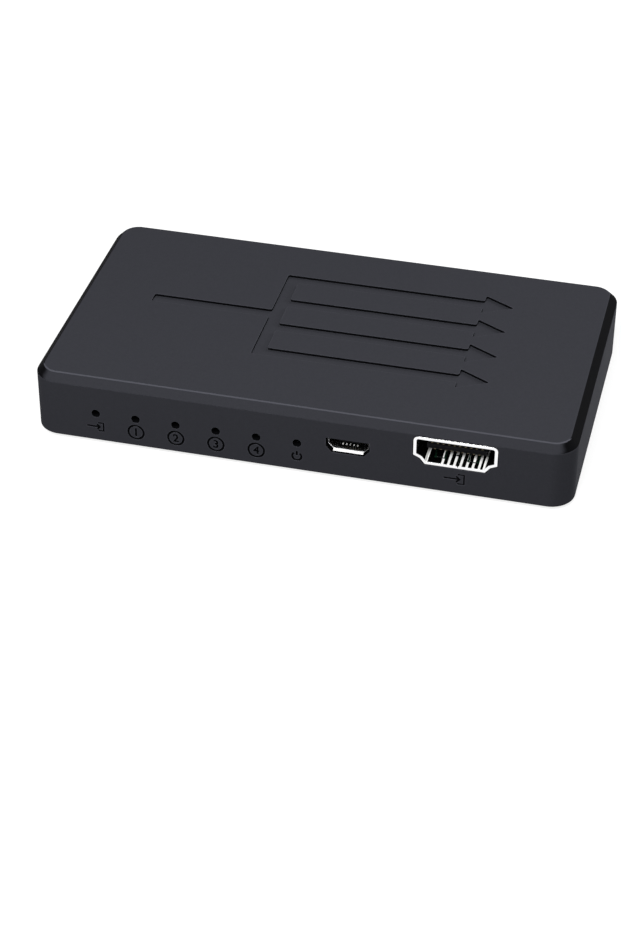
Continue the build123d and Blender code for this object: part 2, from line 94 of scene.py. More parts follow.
def amount(name, description, default, least=0, most=1):
    """A plain number."""
    return FloatProperty(name=name, description=description, default=default, min=least, max=most)


class CaseSettings(bpy.types.PropertyGroup):
    """The moulded case: its finish, its rounded edges and what is sunk into it."""

    colour: tint("Plastic", "Colour of the case", (0.0325, 0.0332, 0.0395))
    cover_colour: tint("Cover plastic", "Colour of the cover", (0.026, 0.0265, 0.031))
    grain_size: length("Grain size", "Spacing of the moulded grain", 0.22)
    grain_depth: length("Grain depth", "Depth of the moulded grain", 0.008)
    # Painted shade: darkens the walls of what is sunk into the case.
    groove_share: amount("Painted groove shade", "Tone of the sunk walls as a share of the case's", 0.08)
    # Painted highlight: lightens the crest between the top and its bevel.
    crest_share: amount("Painted crest highlight", "Tone of the rubbed crest as a share of the case's", 2.1, most=10)
    # Painted shade: darkens the bevels of the short sides.
    end_bevel_share: amount("Painted end bevel shade", "Tone of the short sides' bevels as a share of the case's", 0.08)
    crest_round: length("Crest", "Rounding where the top meets its bevel", 0.24)
    shoulder_round: length("Shoulder", "Rounding where the bevel meets the walls", 0.16)
    base_round: length("Base", "Rounding of the lower edge", 0.3)
    port_round: length("Port edge", "Rounding round ports and lamp holes", 0.06)
    label_line: length("Label line", "Width of the lines of the labels", 0.42)
    label_depth: length("Label depth", "Depth of the sunk labels", 0.3)
    label_clearance: length("Label clearance", "How far a label's middle stands off the wall", 0.02)
    digit_height: length("Digit", "Height of a circled digit", 1.7)
    ring_diameter: length("Ring", "Diameter of the ring round a digit", 2.9)
    ring_drop: length("Ring drop", "From a lamp down to its label", 2.85)
    port_label_height: length("Port label", "Height of the labels under the ports", 2.0)
    port_label_drop: length("Port label drop", "From a port's lower edge to the middle of its label", 2.25)


class DiagramSettings(bpy.types.PropertyGroup):
    """The diagram sunk into the top: one line that splits into four arrows."""

    line: length("Line", "Width of the lines", 2.5)
    depth: length("Depth", "Depth below the top", 0.5)
    pitch: length("Pitch", "From arrow to arrow", 8.6)
    branch: length("Branch", "Length of an arrow's line", 36.0)
    stem: length("Stem", "Length of the single line", 23.0)
    head: length("Arrow head", "Length of an arrow head", 5.8)
    head_share: amount("Head width", "Head width as a share of the line", 2.5, least=1, most=10)
    spine_x: length("Spine place", "Where the line splits", -11.5, least=-50)
    centre_y: length("Middle", "Middle of the diagram", 2.0, least=-28)
    corner: length("Corner", "Rounding of its corners", 0.4)
    rim: length("Rim", "Rounding of its upper edge", 0.06)


class SocketSettings(bpy.types.PropertyGroup):
    """The plated sockets."""

    steel_colour: tint("Plated steel", "Colour of the socket shells", (0.86, 0.86, 0.87))
    # Painted shade: the contacts' gold is darkened for their place deep in the sockets.
    contact_colour: tint("Contacts", "Colour of the contacts", (0.24, 0.2, 0.13))
    tongue_colour: tint("Insulator", "Colour of the moulded tongue", (0.008, 0.008, 0.009))
    rim_round: length("Rim edge", "Rounding of a video socket's rim", 0.1)
    lip_round: length("Lip edge", "Rounding of the power socket's lip", 0.04)
    lip_reach: length("Lower lip", "How far the power socket's lower lip reaches out", 0.5)
    lip_edge: length("Lip's front", "Height of the lower lip's front edge", 0.05)


class FastenerSettings(bpy.types.PropertyGroup):
    """Screws and feet."""

    screw_colour: tint("Screw", "Colour of the blackened screws", (0.045, 0.045, 0.05))
    thread_pitch: length("Thread pitch", "Pitch of the screw thread", 0.8)
    thread_height: length("Thread height", "How far the thread stands out of the core", 0.22)
    sides: IntProperty(name="Sides", description="Sides of a round piece", default=40, min=12)
    foot_colour: tint("Foot", "Colour of the rubber feet", (0.016, 0.016, 0.017))


class StageSettings(bpy.types.PropertyGroup):
    """Floor, lamps and camera."""

    azimuth: angle("Azimuth", "Where the camera stands", 13.72)
    elevation: angle("Elevation", "How high it stands", 36.12)
    roll: angle("Roll", "How it leans", 0.29)
    distance: length("Distance", "From camera to target", 461.7)
    target_x: length("Target X", "Where the camera looks, from side to side", -4.31, least=-100)
    target_z: length("Target Z", "Where the camera looks, up or down", -18.89, least=-100)
    focal_length: amount("Focal length", "Focal length in millimetres", 91.41, least=1, most=1000)
    sky: amount("Sky", "Light from all round", 0.13)
    key: amount("Key lamp", "Watts of the lamp in front", 4.2, most=100)
    side: amount("Side lamp", "Watts of the lamp at the right", 0.8, most=100)
    rear: amount("Rear lamp", "Watts of the lamp behind", 2.7, most=100)
    floor_size: length("Floor", "Side of the floor", 4000)
    floor_bounce: amount("Floor bounce", "What the floor sends back to the box", 0.12)
    floor_shade: amount("Floor shade", "How pale the floor looks by its light", 0.3)
    floor_glow: amount("Floor glow", "What makes the floor look white", 0.78)
    floor_near: length("Shadow floor", "How far out the floor takes the full shadow", 120)
    floor_far: length("White floor", "How far out the floor is white all over", 400)


# Mesh helpers


def activate(piece):
    """Makes a piece the only selected one."""
    bpy.ops.object.select_all(action="DESELECT")
    piece.select_set(True)
    bpy.context.view_layer.objects.active = piece


def added(add, **values):
    """What an operator adds, with nothing else selected."""
    bpy.ops.object.select_all(action="DESELECT")
    add(**values)
    return bpy.context.active_object


def edit(piece, select_mode, action="DESELECT"):
    """Opens a piece in edit mode, with nothing or all of it selected."""
    activate(piece)
    bpy.ops.object.mode_set(mode="EDIT")
    bpy.ops.mesh.select_mode(type=select_mode)
    bpy.ops.mesh.select_all(action=action)


def close():
    """Leaves edit mode."""
    bpy.ops.object.mode_set(mode="OBJECT")


def mend(threshold):
    """Merges doubled vertices and points all faces outwards, in edit mode."""
    bpy.ops.mesh.select_all(action="SELECT")
    bpy.ops.mesh.remove_doubles(threshold=threshold)
    bpy.ops.mesh.normals_make_consistent(inside=False)


def select_edges(piece, test):
    """Selects the edges that pass a test, in edit mode."""
    mesh = bmesh.from_edit_mesh(piece.data)
    chosen = [edge for edge in mesh.edges if test(edge)]
    if not chosen:
        raise ValueError(f"{piece.name} has no such edges")
    for edge in chosen:
        edge.select_set(True)
    bmesh.update_edit_mesh(piece.data)


def bevel_edges(piece, test, offset, segments):
    """Rounds the edges that pass a test."""
    edit(piece, "EDGE")
    select_edges(piece, test)
    bpy.ops.mesh.bevel(offset=offset, segments=segments, affect="EDGES", clamp_overlap=False)
    close()


def lies_at(edge, axis, level):
    """Whether an edge lies in a plane across an axis."""
    return all(abs(vertex.co[axis] - level) < NEAR for vertex in edge.verts)


def is_sharp(edge, least=30):
    """Whether the surface turns by at least this many degrees at an edge."""
    return len(edge.link_faces) == 2 and edge.calc_face_angle(0) > radians(least)


def apply_modifier(piece, kind, **values):
    """Adds a modifier with these values and applies it."""
    modifier = piece.modifiers.new(kind.lower(), kind)
    for name, value in values.items():
        setattr(modifier, name, value)
    activate(piece)
    bpy.ops.object.modifier_apply(modifier=modifier.name)


def smooth(piece, limit=30):
    """Smooth shading up to an angle in degrees, with normals that keep flat faces flat."""
    activate(piece)
    bpy.ops.object.shade_smooth_by_angle(angle=radians(limit))
    apply_modifier(piece, "WEIGHTED_NORMAL", keep_sharp=True, mode="FACE_AREA")


def merged_copy(node, name, cuts=()):
    """A copy of a CAD node as one closed skin of flat faces, which stay split at these places on X."""
    piece = bpy.data.objects.new(name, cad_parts[node].data.copy())
    bpy.context.scene.collection.objects.link(piece)
    activate(piece)
    bpy.ops.mesh.customdata_custom_splitnormals_clear()
    edit(piece, "VERT", "SELECT")
    bpy.ops.mesh.remove_doubles(threshold=0.002 * MM)
    for x in cuts:
        bpy.ops.mesh.select_all(action="SELECT")
        bpy.ops.mesh.bisect(plane_co=(x, 0, 0), plane_no=(1, 0, 0))
        bpy.ops.mesh.mark_seam()
    bpy.ops.mesh.select_all(action="SELECT")
    bpy.ops.mesh.dissolve_limited(angle_limit=radians(0.5), delimit={"SEAM"})
    bpy.ops.mesh.normals_make_consistent(inside=False)
    close()
    return piece


def turned(name, profile, sides):
    """A closed round piece on the Z axis, drawn up from a disc through (radius, level) pairs."""
    radius, level = profile[0]
    disc = {"vertices": sides, "radius": radius, "fill_type": "NGON", "location": (0, 0, level)}
    piece = added(bpy.ops.mesh.primitive_circle_add, **disc)
    piece.name = name
    bpy.ops.object.transform_apply(location=True, rotation=True, scale=True)
    edit(piece, "VERT", "SELECT")
    for next_radius, next_level in profile[1:]:
        bpy.ops.mesh.extrude_region_move(TRANSFORM_OT_translate={"value": (0, 0, next_level - level)})
        ratio = next_radius / radius
        bpy.ops.transform.resize(value=(ratio, ratio, 1), center_override=(0, 0, next_level))
        radius, level = next_radius, next_level
    mend(0.0001 * MM)
    close()
    return piece


def box_cutter(low, high):
    """A box between two corners."""
    centre = [(a + b) / 2 for a, b in zip(low, high)]
    cutter = added(bpy.ops.mesh.primitive_cube_add, size=1, location=centre)
    cutter.scale = [b - a for a, b in zip(low, high)]
    bpy.ops.object.transform_apply(location=True, rotation=True, scale=True)
    return cutter


def carve(piece, cutters, operation="DIFFERENCE"):
    """Takes closed shapes out of a piece, or adds them to it, and removes them."""
    group = bpy.data.collections.new("cutters")
    bpy.context.scene.collection.children.link(group)
    for cutter in cutters:
        group.objects.link(cutter)
    cut = {"operation": operation, "operand_type": "COLLECTION", "collection": group}
    apply_modifier(piece, "BOOLEAN", solver="EXACT", **cut)
    for cutter in cutters:
        bpy.data.objects.remove(cutter)
    bpy.data.collections.remove(group)


def repeated(piece, name, places):
    """Copies of a piece at these places, each with its own mesh, joined as one instead of it."""
    copies = []
    for place in places:
        copy = piece.copy()
        copy.data = piece.data.copy()
        bpy.context.scene.collection.objects.link(copy)
        copy.data.transform(Matrix.Translation(place))
        copies.append(copy)
    bpy.data.objects.remove(piece)
    activate(copies[0])
    for copy in copies:
        copy.select_set(True)
    bpy.ops.object.join()
    copies[0].name = name
    return copies[0]


def finish(piece, surface, replaced):
    """Gives a piece its finish and its body, and hides the CAD node that it stands for."""
    piece.data.materials.clear()
    piece.data.materials.append(surface.material)
    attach(piece, BODY)
    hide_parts(replaced)


def paint_nodes(surface, *nodes):
    """Gives CAD nodes a finish, with their meshes as they are."""
    for node in nodes:
        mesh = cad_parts[node].data
        mesh.materials.clear()
        mesh.materials.append(surface.material)


# Labels: each is drawn about zero with x to the right and y up, and then set on a wall

# The signs' lines, for a height of one. In: an arrow goes into an open frame. Out: one comes out of it.
SIGNS = {
    "in": [
        [(-0.1, 0.5), (0.5, 0.5), (0.5, -0.5), (-0.1, -0.5)],
        [(-1.35, 0), (0.12, 0)],
        [(-0.22, 0.3), (0.12, 0), (-0.22, -0.3)],
    ],
    "out": [
        [(0.1, 0.5), (-0.5, 0.5), (-0.5, -0.5), (0.1, -0.5)],
        [(-0.12, 0), (1.1, 0)],
        [(0.76, 0.3), (1.1, 0), (0.76, -0.3)],
    ],
}


def stroke(points, width, depth):
    """A rod along points, as a mesh, which cuts a groove of this width and depth."""
    curve = bpy.data.curves.new("groove", "CURVE")
    curve.dimensions = "3D"
    curve.bevel_depth = width / 2
    curve.bevel_resolution = 2
    curve.use_fill_caps = True
    spline = curve.splines.new("POLY")
    spline.points.add(len(points) - 1)
    for place, (x, y) in zip(spline.points, points):
        place.co = (x, y, 0, 1)
    rod = bpy.data.objects.new("groove", curve)
    bpy.context.scene.collection.objects.link(rod)
    activate(rod)
    bpy.ops.object.convert(target="MESH")
    bpy.ops.object.mode_set(mode="EDIT")
    mend(0.0005 * MM)
    close()
    rod.data.transform(Matrix.Diagonal((1, 1, 2 * depth / width, 1)))
    return rod


def ring(diameter, width, depth):
    """A rod bent to a ring."""
    radii = {"major_radius": diameter / 2, "minor_radius": width / 2}
    rod = added(bpy.ops.mesh.primitive_torus_add, major_segments=48, minor_segments=10, **radii)
    rod.data.transform(Matrix.Diagonal((1, 1, 2 * depth / width, 1)))
    return rod


def digit(number, height, depth):
    """A digit with flat sides, as a mesh that reaches a depth both ways."""
    height_of_size = 0.73
    text = added(bpy.ops.object.text_add).data
    text.body = str(number)
    text.align_x = "CENTER"
    text.align_y = "CENTER"
    text.size = height / height_of_size
    text.resolution_u = 6
    text.extrude = depth
    text.offset = 0.045 * height
    bpy.ops.object.convert(target="MESH")
    cutter = bpy.context.active_object
    bpy.ops.object.mode_set(mode="EDIT")
    mend(0.0005 * MM)
    close()
    low = Vector(min(vertex.co[i] for vertex in cutter.data.vertices) for i in range(3))
    high = Vector(max(vertex.co[i] for vertex in cutter.data.vertices) for i in range(3))
    cutter.data.transform(Matrix.Translation(-(low + high) / 2))
    return cutter


def sign(name, size, line):
    """A sign of a few lines, size high."""
    return [stroke([(x * size, y * size) for x, y in points], *line) for points in SIGNS[name]]


def power_sign(size, line):
    """The usual sign for power: an open ring with a line in its gap."""
    radius = 0.42 * size
    gap = radians(38)
    count = 24
    turns = [pi / 2 + gap + (2 * pi - 2 * gap) * i / (count - 1) for i in range(count)]
    arc = [(radius * cos(turn), radius * sin(turn)) for turn in turns]
    return [stroke(points, *line) for points in (arc, [(0, 0.08 * size), (0, 0.58 * size)])]


def set_on_wall(cutters, place, aside=0, rear=False):
    """Moves label cutters aside, turns them to the front wall, or the rear one, and sets them there."""
    turn = Matrix.Rotation(pi if rear else 0, 4, "Z") @ Matrix.Rotation(pi / 2, 4, "X")
    for cutter in cutters:
        cutter.data.transform(Matrix.Translation((aside, 0, 0)))
        cutter.data.transform(Matrix.Translation(place) @ turn)
    return cutters


def mouth_of(node):
    """Where on Y the mouth of a socket shell lies."""
    low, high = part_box(node)
    return low.y if low.y < 0 else high.y


def in_mouth(vertices, mouth):
    """The places of the vertices that lie in the plane of a mouth."""
    return [vertex.co for vertex in vertices if abs(vertex.co.y - mouth) < NEAR]


def rim_base(node):
    """The lowest level of a socket shell's rim."""
    return min(place.z for place in in_mouth(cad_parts[node].data.vertices, mouth_of(node)))


def front_labels(case):
    """A circled digit under each output's lamp, and signs under the other lamps and the input."""
    line = case.label_line, case.label_depth
    size = case.port_label_height
    small = 0.85 * size
    wall = CASE_LOW.y - case.label_clearance
    labels = {"lamp_input": sign("in", small, line), "lamp_power": power_sign(size, line)}
    cutters = []
    for number, lamp in enumerate(LAMPS):
        label = labels.get(lamp)
        if not label:
            label = [ring(case.ring_diameter, *line), digit(number, case.digit_height, case.label_depth)]
        at = middle(lamp)
        aside = 0.3 * small if lamp == "lamp_input" else 0
        cutters += set_on_wall(label, (at.x, wall, at.z - case.ring_drop), aside)
    node = "input_socket_shell"
    under_input = (middle(node).x, wall, rim_base(node) - case.port_label_drop)
    return cutters + set_on_wall(sign("in", size, line), under_input, 0.4 * size)


def rear_labels(case):
    """A sign and the output's number under each output."""
    size = case.port_label_height
    wall = CASE_HIGH.y + case.label_clearance
    cutters = []
    for number, port in enumerate(PORTS, start=1):
        node = f"{port}_socket_shell"
        place = (middle(node).x, wall, rim_base(node) - case.port_label_drop)
        way_out = sign("out", size, (case.label_line, case.label_depth))
        cutters += set_on_wall(way_out, place, -0.95 * size, rear=True)
        cutters += set_on_wall([digit(number, size, case.label_depth)], place, 1.05 * size, rear=True)
    return cutters


def draw_out(piece, at, reach, to_point=False):
    """Draws the edge whose middle is at a place out by a reach, and closes it to a point if asked."""

    def in_place(edge):
        centre = (edge.verts[0].co + edge.verts[1].co) / 2
        return hypot(centre.x - at[0], centre.y - at[1]) < 0.01 * MM

    edit(piece, "EDGE")
    select_edges(piece, in_place)
    bpy.ops.mesh.extrude_region_move(TRANSFORM_OT_translate={"value": (*reach, 0)})
    if to_point:
        bpy.ops.mesh.merge(type="CENTER")
    close()


def diagram_cutter(diagram):
    """One line that splits into four arrows: a bar, with lines drawn out of cuts across it."""
    last = len(PORTS) - 1
    line = diagram.line
    centre_y = diagram.centre_y
    spine_half = diagram.pitch * last / 2 + line / 2
    branch_ys = [centre_y + diagram.pitch * (i - last / 2) for i in range(last + 1)]
    level = CASE_HIGH.z + diagram.depth

    cutter = added(bpy.ops.mesh.primitive_plane_add, size=1, location=(diagram.spine_x, centre_y, level))
    cutter.scale = (line, 2 * spine_half, 1)
    bpy.ops.object.transform_apply(location=True, rotation=True, scale=True)
    edit(cutter, "VERT")
    for y in [*branch_ys, centre_y]:
        for edge_y in (y - line / 2, y + line / 2):
            if abs(edge_y - centre_y) < spine_half - 0.01 * MM:
                bpy.ops.mesh.select_all(action="SELECT")
                bpy.ops.mesh.bisect(plane_co=(0, edge_y, level), plane_no=(0, 1, 0))
    close()

    right = diagram.spine_x + line / 2
    tip = right + diagram.branch
    half_head = line * diagram.head_share / 2
    neck = diagram.head * (1 - 1 / diagram.head_share)
    draw_out(cutter, (diagram.spine_x - line / 2, centre_y), (-diagram.stem, 0))
    for y in branch_ys:
        draw_out(cutter, (right, y), (diagram.branch, 0))
        draw_out(cutter, (tip, y), (neck, 0))
        for side in (-1, 1):
            barb = (-neck / 2, side * (half_head - line / 2))
            draw_out(cutter, (tip + neck / 2, y + side * line / 2), barb, to_point=True)
        draw_out(cutter, (tip + neck, y), (diagram.head - neck, 0), to_point=True)

    edit(cutter, "VERT", "SELECT")
    bpy.ops.mesh.remove_doubles(threshold=0.001 * MM)
    bpy.ops.mesh.dissolve_limited(angle_limit=radians(1))
    bpy.ops.mesh.bevel(offset=diagram.corner, segments=4, affect="VERTICES")
    bpy.ops.mesh.select_all(action="SELECT")
    bpy.ops.mesh.extrude_region_move(TRANSFORM_OT_translate={"value": (0, 0, -2 * diagram.depth)})
    bpy.ops.mesh.select_all(action="SELECT")
    bpy.ops.mesh.normals_make_consistent(inside=False)
    close()
    return cutter


# Shader nodes


def add_node(tree, kind, inputs, **settings):
    """A shader node with these settings, whose inputs are plain values or other nodes' outputs."""
    node = tree.nodes.new(kind)
    for name, value in settings.items():
        setattr(node, name, value)
    for label, value in inputs.items():
        source = getattr(value, "socket", value)
        if isinstance(source, bpy.types.NodeSocket):
            tree.links.new(source, node.inputs[label])
        else:
            node.inputs[label].default_value = source
    return node


class Value:
    """A number that a node gives. Arithmetic adds Math nodes, and a comparison gives nought or one."""

    def __init__(self, tree, socket):
        self.tree = tree
        self.socket = socket

    def maths(self, operation, *values):
        """What a Math node makes of these values."""
        node = add_node(self.tree, "ShaderNodeMath", dict(enumerate(values)), operation=operation)
        return Value(self.tree, node.outputs[0])

    def feed(self, socket):
        """Links the number to an input."""
        self.tree.links.new(self.socket, socket)

    def __add__(self, other):
        return self.maths("ADD", self, other)

    def __sub__(self, other):
        return self.maths("SUBTRACT", self, other)

    def __rsub__(self, other):
        return self.maths("SUBTRACT", other, self)

    def __mul__(self, other):
        return self.maths("MULTIPLY", self, other)

    def __rtruediv__(self, other):
        return self.maths("DIVIDE", other, self)

    def __gt__(self, other):
        return self.maths("GREATER_THAN", self, other)

    def __lt__(self, other):
        return self.maths("LESS_THAN", self, other)

    def __or__(self, other):
        return self.maths("MAXIMUM", self, other)

    def __abs__(self):
        return self.maths("ABSOLUTE", self)

    def between(self, low, high):
        """Where it lies between two values."""
        return (self > low) * (self < high)

    def fade(self, low, high):
        """Nought up to one value, one from another, and smooth between them."""
        inputs = {"Value": self, "From Min": low, "From Max": high}
        node = add_node(self.tree, "ShaderNodeMapRange", inputs, interpolation_type="SMOOTHSTEP")
        return Value(self.tree, node.outputs["Result"])


def own_place(tree):
    """The place on the piece, in its own coordinates."""
    return tree.nodes.new("ShaderNodeTexCoord").outputs["Object"]


def noise(tree, scale, detail=2.0, roughness=0.5, stretch=(1, 1, 1)):
    """Noise on the piece's own coordinates."""
    mapping = add_node(tree, "ShaderNodeMapping", {"Vector": own_place(tree), "Scale": stretch})
    inputs = {"Vector": mapping.outputs["Vector"], "Detail": detail, "Roughness": roughness, "Scale": scale}
    return Value(tree, add_node(tree, "ShaderNodeTexNoise", inputs).outputs["Fac"])


# Shader groups: their outputs are masks, heights and values that change over the surface


def new_group(name, inputs, outputs):
    """An empty group with number sockets, the numbers that go into it, and the sockets for what comes out."""
    group = bpy.data.node_groups.new(name, "ShaderNodeTree")
    for label, default in inputs.items():
        socket = group.interface.new_socket(label, in_out="INPUT", socket_type="NodeSocketFloat")
        socket.default_value = default
    for label in outputs:
        group.interface.new_socket(label, in_out="OUTPUT", socket_type="NodeSocketFloat")
    start = group.nodes.new("NodeGroupInput")
    end = group.nodes.new("NodeGroupOutput")
    numbers = [Value(group, start.outputs[label]) for label in inputs]
    return group, numbers, [end.inputs[label] for label in outputs]


def moulded_grain():
    """A fine, even stipple."""
    sizes = {"Size": 0.2 * MM, "Contrast": 1.0}
    group, (size, contrast), (height, speckle) = new_group("Moulded grain", sizes, ["Height", "Speckle"])
    scale = 1.0 / size
    fine = noise(group, scale, detail=1.5, roughness=0.6)
    broad = noise(group, scale * 0.31, detail=1.0)
    stipple = fine * 0.7 + broad * 0.3
    stipple.feed(height)
    ((stipple - 0.5) * contrast).feed(speckle)
    return group


def handling_marks():
    """Broad soft patches where the sheen changes."""
    group, (size, reach), (change,) = new_group("Handling marks", {"Size": 20 * MM, "Amount": 0.05}, ["Change"])
    patches = noise(group, 1.0 / size, detail=3.0, roughness=0.55)
    ((patches - 0.5) * reach).feed(change)
    return group


# This mask is real wear on the blackened steel and a painted highlight on the edges of the moulded plastic.
def edge_wear():
    """Where the surface turns within a small width, broken up by noise."""
    group, (width, reach), (mask,) = new_group("Edge wear and highlight", {"Width": 0.3 * MM, "Amount": 1.0}, ["Mask"])
    rounded = add_node(group, "ShaderNodeBevel", {"Radius": width}, samples=4)
    surface = group.nodes.new("ShaderNodeNewGeometry")
    normals = {0: rounded.outputs["Normal"], 1: surface.outputs["Normal"]}
    likeness = add_node(group, "ShaderNodeVectorMath", normals, operation="DOT_PRODUCT")
    wear_and_highlight_mask = (1.0 - Value(group, likeness.outputs["Value"])) * noise(group, 900.0) * reach
    wear_and_highlight_mask.maths("MINIMUM", wear_and_highlight_mask, 1.0).feed(mask)
    return group


def rolled_streaks():
    """Fine streaks along one direction."""
    sizes = {"Size": 0.3 * MM, "Amount": 0.1}
    group, (size, reach), (change, height) = new_group("Rolled streaks", sizes, ["Change", "Height"])
    streaks = noise(group, 1.0 / size, stretch=(1, 0.06, 1))
    ((streaks - 0.5) * reach).feed(change)
    streaks.feed(height)
    return group


GROUPS = {
    "Moulded grain": moulded_grain,
    "Handling marks": handling_marks,
    "Edge wear and highlight": edge_wear,
    "Rolled streaks": rolled_streaks,
}


# Materials


class Surface:
    """A Principled material that is put together step by step."""

    def __init__(self, name, colour, roughness, metallic=0.0, specular=0.5):
        """Starts with even values on the shader's own sockets."""
        self.colour = colour
        self.roughness = roughness
        self.material = bpy.data.materials.new(name)
        self.material.use_nodes = True
        self.tree = self.material.node_tree
        self.shader = self.tree.nodes["Principled BSDF"]
        self.sockets = self.shader.inputs
        self.sockets["Base Color"].default_value = (*colour, 1)
        self.sockets["Roughness"].default_value = roughness
        self.sockets["Metallic"].default_value = metallic
        self.sockets["Specular IOR Level"].default_value = specular

    def group(self, name, **values):
        """What a shared group gives for these values; the group is built on its first use."""
        shared = bpy.data.node_groups.get(name) or GROUPS[name]()
        node = add_node(self.tree, "ShaderNodeGroup", values, node_tree=shared)
        return {socket.name: Value(self.tree, socket) for socket in node.outputs}

    def parts(self, vector):
        """The three parts of a vector."""
        node = add_node(self.tree, "ShaderNodeSeparateXYZ", {"Vector": vector})
        return [Value(self.tree, socket) for socket in node.outputs]

    def place(self):
        """X, Y and Z of the place on the piece."""
        return self.parts(own_place(self.tree))

    def normal(self):
        """X, Y and Z of the surface's normal."""
        return self.parts(self.tree.nodes.new("ShaderNodeNewGeometry").outputs["Normal"])

    def mix_colour(self, share, first, second):
        """Feeds the base colour with one between two."""
        inputs = {"Factor": share, "A": first, "B": (*second, 1)}
        mix = add_node(self.tree, "ShaderNodeMix", inputs, data_type="RGBA")
        self.tree.links.new(mix.outputs["Result"], self.sockets["Base Color"])

    def vary_colour(self, change, lightest=2.0):
        """Makes the base colour darker or lighter by a value."""
        darkest = 0.6
        dark = [darkest * part for part in self.colour]
        light = [min(1, lightest * part) for part in self.colour]
        self.mix_colour(change + (1 - darkest) / (lightest - darkest), (*dark, 1), light)

    def cover(self, mask, colour):
        """Lays another colour over the base colour where a mask is one."""
        links = self.sockets["Base Color"].links
        self.mix_colour(mask, links[0].from_socket if links else (*self.colour, 1), colour)

    def vary_roughness(self, change):
        """Adds a value to the roughness."""
        (change + self.roughness).feed(self.sockets["Roughness"])

    def bump(self, height, distance):
        """Feeds the normal with a height."""
        node = add_node(self.tree, "ShaderNodeBump", {"Strength": 1.0, "Distance": distance, "Height": height})
        self.tree.links.new(node.outputs["Normal"], self.sockets["Normal"])

    def wipe(self, mask, colour):
        """Paints a highlight: makes streaked plating dull and pale where a mask is one."""
        dull_roughness = 0.5
        streaked = Value(self.tree, self.sockets["Roughness"].links[0].from_socket)
        self.cover(mask, colour)
        (1.0 - mask).feed(self.sockets["Metallic"])
        (streaked + mask * (dull_roughness - self.roughness)).feed(self.sockets["Roughness"])


def moulded_plastic(name, colour, grain_size, grain_depth, roughness=0.65):
    """Matt moulded plastic: stippled, a little patchy in sheen, lighter on its edges by a painted highlight."""
    surface = Surface(name, colour, roughness, specular=0.01)
    grain = surface.group("Moulded grain", Size=grain_size, Contrast=0.25)
    marks = surface.group("Handling marks", Size=22 * MM, Amount=0.12)
    wear_and_highlight = surface.group("Edge wear and highlight", Width=0.25 * MM, Amount=10.0)
    # The edge mask makes the plastic lighter on its edges: a painted highlight.
    surface.vary_colour(grain["Speckle"] + wear_and_highlight["Mask"], lightest=1.8)
    surface.vary_roughness(marks["Change"])
    surface.bump(grain["Height"], grain_depth)
    return surface


def case_plastic(name, case):
    """The case's plastic, with painted shade in what is sunk into it and on its end bevels, and a painted
    highlight on its crest.
    """
    surface = moulded_plastic(name, case.colour, case.grain_size, case.grain_depth)
    skin = 0.07 * MM
    deepest = 0.8 * MM
    wall = 1.75 * MM
    corner = 5.5 * MM
    top = CASE_HIGH.z
    x, y, level = surface.place()
    endward, sideward, upward = surface.normal()
    along = abs(x) < CASE_HIGH.x - corner
    across = abs(y) < CASE_HIGH.y - corner

    def cover(mask, share):
        surface.cover(mask, [share * part for part in case.colour])

    # Painted shade: what lies just under the skin of the top and of the front and rear walls is darkened, that
    # is the walls of the sunk labels and diagram, the ledges round the ports and the walls of the lamp holes.
    in_top = along * across * level.between(top - deepest, top - skin) * (abs(upward) < 0.6)
    in_walls = along * abs(y).between(CASE_HIGH.y - wall, CASE_HIGH.y - skin)
    in_walls = in_walls * level.between(CASE_LOW.z + deepest, top - 2 * deepest)
    cover(in_top | in_walls, case.groove_share)
    # Painted shade: the bevels of the short sides are darkened.
    cover(abs(endward).fade(0.25, 0.5) * upward.between(0.45, 0.93), case.end_bevel_share)
    # Painted highlight: the crest between the top and its bevel is lightened.
    highlighted = upward.between(0.78, 0.985) * abs(sideward).fade(0.1, 0.2)
    cover((1.0 - along * across) * (level > top - 2 * case.crest_round) * highlighted, case.crest_share)
    return surface


def plated_metal(name, colour, roughness, streak_size=0.25 * MM):
    """Plated or drawn metal with fine streaks."""
    surface = Surface(name, colour, roughness, metallic=1.0)
    streaks = surface.group("Rolled streaks", Size=streak_size, Amount=0.12)
    surface.vary_roughness(streaks["Change"])
    surface.bump(streaks["Height"], 0.002 * MM)
    return surface


def socket_steel(name, colour, centre, side):
    """Plated steel: its floor is painted dark as shade, with painted highlights in pale tracks under the
    contacts and along its bends.
    """
    surface = plated_metal(name, colour, 0.22)
    pitch = 1.1 * MM
    phase = 0.375 * MM
    first, last = -2.65 * MM, 4.6 * MM
    bend, half_bend = 5.2 * MM, 0.24 * MM
    across = (surface.place()[0] - centre) * side
    turns = (across + phase) * (2 * pi / pitch)
    tracks = (turns.maths("SINE", turns) > 0.3) * across.between(first, last)
    bends = abs(abs(across) - bend) < half_bend
    floor = surface.normal()[2] > 0.6
    # Painted highlights: pale stripes under the contacts and along the bends of the floor.
    wear_and_highlight_mask = floor * (tracks | bends) * (noise(surface.tree, 700.0) > 0.34)
    surface.wipe(wear_and_highlight_mask, (0.9, 0.9, 0.88))
    # Painted shade: the rest of the floor is darkened.
    surface.cover(floor - wear_and_highlight_mask, (0.1, 0.1, 0.1))
    return surface


